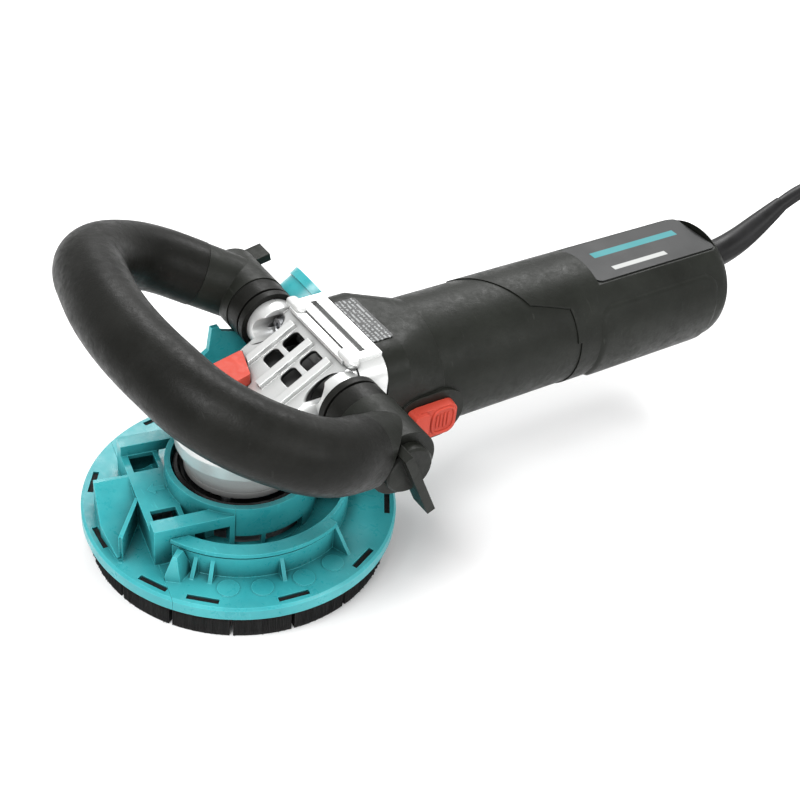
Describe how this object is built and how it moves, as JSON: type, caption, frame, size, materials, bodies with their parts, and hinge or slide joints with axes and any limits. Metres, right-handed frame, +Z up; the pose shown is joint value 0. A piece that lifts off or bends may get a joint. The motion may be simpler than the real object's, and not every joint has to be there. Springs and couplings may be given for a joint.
{
  "type": "concrete grinder",
  "caption": "Corded right-angle concrete grinder: cup wheel inside a brush-rimmed dust hood with a removable edge segment, rear extraction port and tilting bail handle.",
  "frame": {"origin": "where the spindle axis meets the floor the brush rim stands on", "axes": "+Z up along the spindle, +X along the motor towards the rear grip, -Y the slide switch side"},
  "size_m": [0.6852, 0.2405, 0.164],
  "materials": {
    "machined_steel": "machined",
    "screw_steel": "zinc plated",
    "wheel_paint": "satin",
    "sintered_metal": "rough",
    "lamination_steel": "laminated",
    "copper": "enamelled wire",
    "bronze": "sintered",
    "charcoal_plastic": "fine textured",
    "gloss_black": "glossy",
    "coral_plastic": "satin",
    "teal_plastic": "semi-gloss",
    "black_rubber": "matte",
    "bristle": "fibrous",
    "silver_alloy": "die cast",
    "grey_label": "printed film",
    "carbon": "graphite"
  },
  "bodies": {
    "machine": {"armature_bearing_front": "machined_steel", "armature_bearing_rear": "machined_steel", "bearing_box": "silver_alloy", "bearing_box_screws": "screw_steel", "bearing_bracket": "silver_alloy", "brush_holders": "bronze", "cable_clamp": "charcoal_plastic", "carbon_brushes": "carbon", "control_board": "charcoal_plastic", "cord_coil": "black_rubber", "cord_tube": "black_rubber", "damper_rings": "black_rubber", "dust_hood": "teal_plastic", "dust_port": "teal_plastic", "field_coils": "copper", "gear_housing": "silver_alloy", "grip_screws": "screw_steel", "hood_brush": "bristle", "hood_clamp": "machined_steel", "hood_clamp_screw": "machined_steel", "housing_gasket": "black_rubber", "housing_screws": "screw_steel", "lock_spring": "machined_steel", "motor_housing": "charcoal_plastic", "name_plate": "grey_label", "neck_ring": "gloss_black", "plug": "black_rubber", "plug_pins": "machined_steel", "rating_label": "grey_label", "rear_grip": "charcoal_plastic", "spindle_bearing": "machined_steel", "spindle_top_bearing": "bronze", "stator_core": "lamination_steel", "strain_relief": "black_rubber", "switch_module": "gloss_black"},
    "spindle": {"spindle": "machined_steel", "inner_flange": "machined_steel", "cup_wheel": "wheel_paint", "diamond_segments": "sintered_metal", "clamp_nut": "machined_steel", "ring_gear": "machined_steel"},
    "armature": {"armature_shaft": "machined_steel", "armature_core": "lamination_steel", "armature_windings": "copper", "commutator": "copper", "fan": "charcoal_plastic", "pinion": "machined_steel"},
    "switch": {"slide_switch": "coral_plastic", "switch_rod": "charcoal_plastic"},
    "lock": {"lock_button": "coral_plastic", "lock_pin": "machined_steel"},
    "handle": {"bail_handle": "charcoal_plastic", "bail_grip": "black_rubber"},
    "knob_left": {"knob_left": "charcoal_plastic", "knob_bolt_left": "machined_steel"},
    "knob_right": {"knob_right": "charcoal_plastic", "knob_bolt_right": "machined_steel"},
    "segment": {"front_segment": "teal_plastic", "segment_brush": "bristle", "latch_springs": "teal_plastic"}
  },
  "joints": [
    {"name": "spindle_spin", "type": "hinge", "parent": "machine", "child": "spindle", "pos_m": [0, 0, 0], "axis": [0, 0, 1], "continuous": true},
    {"name": "armature_spin", "type": "hinge", "parent": "machine", "child": "armature", "pos_m": [0, 0, 0.076], "axis": [1, 0, 0], "continuous": true},
    {"name": "switch_slide", "type": "slide", "parent": "machine", "child": "switch", "axis": [-1, 0, 0], "range_m": [0, 0.008]},
    {"name": "lock_press", "type": "slide", "parent": "machine", "child": "lock", "axis": [0, 0, -1], "range_m": [0, 0.0037], "stiffness_N_per_m": 900, "springref_m": -0.002, "deforming": ["lock_spring"]},
    {"name": "handle_tilt", "type": "hinge", "parent": "machine", "child": "handle", "pos_m": [0.036, 0, 0.097], "axis": [0, 1, 0], "range_deg": [-8, 45]},
    {"name": "knob_left_turn", "type": "hinge", "parent": "handle", "child": "knob_left", "pos_m": [0.036, -0.09, 0.097], "axis": [0, 1, 0], "range_deg": [-90, 60]},
    {"name": "knob_right_turn", "type": "hinge", "parent": "handle", "child": "knob_right", "pos_m": [0.036, 0.09, 0.097], "axis": [0, 1, 0], "range_deg": [-60, 90]},
    {"name": "segment_slide", "type": "slide", "parent": "machine", "child": "segment", "axis": [-0.9848, 0.1736, 0], "range_m": [0, 0.05]}
  ],
  "couplings": [
    {"joint": "armature_spin", "follows": "spindle_spin", "ratio": 3.2}
  ]
}
